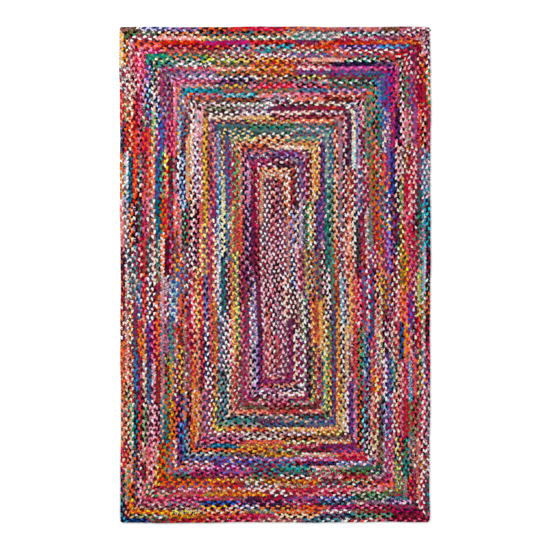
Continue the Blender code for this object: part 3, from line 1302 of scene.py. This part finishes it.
def braided_cotton():
    """Cotton strips: each with its own cloth and print, fine plain weave, and creases along the strip
    with painted shade in their folds. Down in the seams the colour is darker still, as painted shade."""
    cotton = Shading("braided_cotton")
    cloth = cotton.node("ShaderNodeAttribute", {"attribute_name": "cloth"})["Color"]
    figure = cotton.node("ShaderNodeAttribute", {"attribute_name": "figure"})
    weave = cotton.node("ShaderNodeUVMap", {"uv_map": "weave"})["UV"]
    place = cotton.node("ShaderNodeTexCoord")["Object"]
    split = cotton.node("ShaderNodeSeparateXYZ", None, {"Vector": place})
    parts = cotton.node("ShaderNodeSeparateXYZ", None, {"Vector": weave})

    motif = cotton.noise(weave, scale=170.0, detail=1.5, roughness=0.55, dimensions="2D")
    to_dot = cotton.node(
        "ShaderNodeTexVoronoi",
        {"voronoi_dimensions": "2D"},
        {"Vector": weave, "Scale": 230.0, "Randomness": 0.7},
    )["Distance"]
    dots = 1 - cotton.ramp_value(to_dot, *DOT_EDGE)
    dotted = 1 - cotton.ramp_value(figure["Alpha"], *PRINT_SPLIT)
    blots = cotton.ramp_value(motif, *BLOT_EDGE)
    printed = (blots + (dots - blots) * dotted) * figure["Alpha"]
    colour = cotton.mix(printed, cloth, figure["Color"])

    stretched = cotton.node(
        "ShaderNodeMapping", {"vector_type": "POINT"}, {"Vector": weave, "Scale": CREASES}
    )["Vector"]
    crease = cotton.noise(stretched, scale=1.0, detail=2.0, roughness=0.55, dimensions="2D")
    folded = cotton.ramp_value(crease, *CREASE_EDGE)
    # Painted shade: the colour darkens the nearer a point lies to the braid's middle, down in the seams,
    # and in the creases' folds
    depth = abs(split["Z"] - RUG_THICKNESS / 2) / (RUG_THICKNESS / 2)
    clear_of_seam_shade = cotton.ramp_value(depth, *SEAM_DEPTHS)
    light = between(SEAM_PAINTED_SHADE, clear_of_seam_shade) * between(CREASE_PAINTED_SHADE, folded)
    worn = cotton.noise(place, scale=9.0, detail=3.0, roughness=0.6)
    light = light * between(WEAR_LIGHT, worn)
    # The painted shade and the wear, as a grey that the colour is multiplied by
    grey = cotton.node("ShaderNodeCombineXYZ", None, {"X": light, "Y": light, "Z": light})["Vector"]
    colour = cotton.mix(1.0, colour, grey, "MULTIPLY")

    thread = 2 * math.pi / THREAD_PITCH
    threads = cotton.sine(parts["X"] * thread) * cotton.sine(parts["Y"] * thread)
    relief = folded * CREASE_RELIEF + threads * THREAD_RELIEF + motif * PRINT_RELIEF
    return cotton.finish(
        {
            "Base Color": colour,
            "Roughness": between(COTTON_ROUGHNESS, worn),
            "Normal": cotton.bump(relief, strength=0.55, distance=0.0009),
            "Sheen Weight": 0.02,
            "Sheen Roughness": 0.5,
            "Specular IOR Level": 0.06,
        }
    )


def lacing_thread(colour):
    """Waxed thread and the cloth's inner folds, in the seams, kept dark: where the gaps between the lobes
    show them, the dark is painted shade.
    """
    lacing = Shading("lacing_thread")
    place = lacing.node("ShaderNodeTexCoord")["Object"]
    ply = lacing.noise(place, scale=700.0, detail=2.0, roughness=0.6)
    lengths = lacing.noise(place, scale=16.0, detail=2.0, roughness=0.5)
    dark, pale = shades(colour, LACING_SHADES)
    tint = lacing.mix(ply * 0.6 + lengths * 0.4, dark, pale)
    return lacing.finish(
        {
            "Base Color": tint,
            "Roughness": between(LACING_ROUGHNESS, ply),
            "Normal": lacing.bump(ply, strength=0.6, distance=0.0005),
            "Specular IOR Level": 0.06,
        }
    )


def pale_floor(colour):
    floor = Shading(FLOOR_NAME)
    place = floor.node("ShaderNodeTexCoord")["Object"]
    cloud = floor.noise(place, scale=1.2, detail=2.0, roughness=0.5)
    tint = floor.mix(cloud, *shades(colour, FLOOR_SHADES))
    return floor.finish({"Base Color": tint, "Roughness": 0.9, "Specular IOR Level": 0.1})


# ---------------------------------------------------------------- the laced ground, dark as painted shade


def lay_ground(lacing, material):
    """The cloth's inner folds and the lacing that ties them, as one thin sheet inside the braid, dark as
    painted shade in the gaps.
    """
    bm = bmesh.new()
    bmesh.ops.create_grid(bm, x_segments=GROUND_CELLS[0], y_segments=GROUND_CELLS[1], size=0.5)
    size = (RUG_WIDTH - 2 * GROUND_INSET, RUG_LENGTH - 2 * GROUND_INSET, 1.0)
    bmesh.ops.scale(bm, vec=size, verts=bm.verts)
    bmesh.ops.subdivide_edges(
        bm, edges=[edge for edge in bm.edges if edge.is_boundary], cuts=1, use_grid_fill=True
    )
    flat = np.array([vertex.co[:2] for vertex in bm.verts])
    for vertex, spot in zip(bm.verts, lacing.shift(flat)):
        vertex.co = (spot[0], spot[1], RUG_THICKNESS / 2 + GROUND_THICKNESS / 2)
    bottom = bmesh.ops.extrude_face_region(bm, geom=bm.faces[:])["geom"]
    sunk = [item for item in bottom if isinstance(item, bmesh.types.BMVert)]
    bmesh.ops.translate(bm, vec=(0.0, 0.0, -GROUND_THICKNESS), verts=sunk)
    bmesh.ops.recalc_face_normals(bm, faces=bm.faces)
    return add_formed(GROUND_NAME, bm, material)


# ---------------------------------------------------------------- the stage


def soft_light(name, place, size, power):
    """A wide lamp turned towards the middle of the rug."""
    light = bpy.data.lights.new(name, "AREA")
    light.shape = "SQUARE"
    light.size = size
    light.energy = power
    lamp = bpy.data.objects.new(name, light)
    bpy.context.scene.collection.objects.link(lamp)
    lamp.location = place
    lamp.rotation_euler = (-Vector(place)).to_track_quat("-Z", "Y").to_euler()


def room_light(strength):
    world = bpy.data.worlds.new("studio_room")
    world.use_nodes = True
    background = world.node_tree.nodes["Background"]
    background.inputs["Color"].default_value = (1.0, 1.0, 1.0, 1.0)
    background.inputs["Strength"].default_value = strength
    bpy.context.scene.world = world


def pale_ground_plane(material):
    bm = bmesh.new()
    bmesh.ops.create_grid(bm, x_segments=8, y_segments=8, size=1.0)
    bmesh.ops.scale(bm, vec=(FLOOR_REACH, FLOOR_REACH, 1.0), verts=bm.verts)
    return add_formed(FLOOR_NAME, bm, material)


def overhead_camera(view_width, lens):
    """A camera straight above the rug, with the rug's length up the picture."""
    data = bpy.data.cameras.new("overhead_camera")
    data.sensor_width = SENSOR_WIDTH
    data.lens = lens
    camera = bpy.data.objects.new("overhead_camera", data)
    bpy.context.scene.collection.objects.link(camera)
    camera.location = (0.0, 0.0, view_width * lens / SENSOR_WIDTH + RUG_THICKNESS)
    data.clip_start, data.clip_end = CLIP
    bpy.context.scene.camera = camera


# ---------------------------------------------------------------- operators and panel


class RUG_OT_plait_turns(bpy.types.Operator):
    """Plait every turn of the braid from its strips of cloth"""

    bl_idname = "rug.plait_turns"
    bl_label = "Plait the turns"

    def execute(self, context):
        scene = context.scene
        plaiter = Plaiter(scene.rug_braid, scene.rug_rag_bag)
        cotton = braided_cotton()
        for turn in range(TURNS + 1):
            piece = plaiter.plait_turn(turn, cotton)
            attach(piece, "root")
            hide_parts("braided_rug")
        return {"FINISHED"}


class RUG_OT_lace_ground(bpy.types.Operator):
    """Lay the laced ground between the two faces of the braid, dark as painted shade in the gaps"""

    bl_idname = "rug.lace_ground"
    bl_label = "Lace the ground"

    def execute(self, context):
        braid = context.scene.rug_braid
        lacing = HandLacing(braid.wander, np.random.default_rng(SEED))
        ground = lay_ground(lacing, lacing_thread(braid.thread_colour))
        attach(ground, "root")
        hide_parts("braided_rug")
        return {"FINISHED"}


class RUG_OT_set_stage(bpy.types.Operator):
    """Lay the pale floor and place the soft lights and the camera"""

    bl_idname = "rug.set_stage"
    bl_label = "Set the stage"

    def execute(self, context):
        stage = context.scene.rug_stage
        pale_ground_plane(pale_floor(stage.floor_colour))
        soft_light("key_light", power=stage.key_power, **KEY_LIGHT)
        soft_light("fill_light", power=stage.fill_power, **FILL_LIGHT)
        room_light(stage.sky_strength)
        overhead_camera(stage.view_width, stage.lens)
        context.scene.view_settings.view_transform = "Standard"
        return {"FINISHED"}


class RUG_PT_braided_rug(bpy.types.Panel):
    """Sizes, cloths and light of the braided rug"""

    bl_idname = "RUG_PT_braided_rug"
    bl_label = "Braided Rug"
    bl_space_type = "VIEW_3D"
    bl_region_type = "UI"
    bl_category = "Rug"

    def draw(self, context):
        layout = self.layout
        scene = context.scene
        for operator in OPERATORS:
            layout.operator(operator.bl_idname)
        for settings in (scene.rug_braid, scene.rug_stage, scene.rug_rag_bag):
            box = layout.box()
            for name in type(settings).__annotations__:
                box.prop(settings, name)


OPERATORS = (RUG_OT_plait_turns, RUG_OT_lace_ground, RUG_OT_set_stage)
CLASSES = (RugRagBag, RugBraid, RugStage) + OPERATORS + (RUG_PT_braided_rug,)


def register():
    for made in CLASSES:
        bpy.utils.register_class(made)
    bpy.types.Scene.rug_rag_bag = bpy.props.PointerProperty(type=RugRagBag)
    bpy.types.Scene.rug_braid = bpy.props.PointerProperty(type=RugBraid)
    bpy.types.Scene.rug_stage = bpy.props.PointerProperty(type=RugStage)


def unregister():
    del bpy.types.Scene.rug_stage
    del bpy.types.Scene.rug_braid
    del bpy.types.Scene.rug_rag_bag
    for made in reversed(CLASSES):
        bpy.utils.unregister_class(made)


def main():
    register()
    bpy.ops.rug.plait_turns()
    bpy.ops.rug.lace_ground()
    bpy.ops.rug.set_stage()


if __name__ == "__main__":
    main()
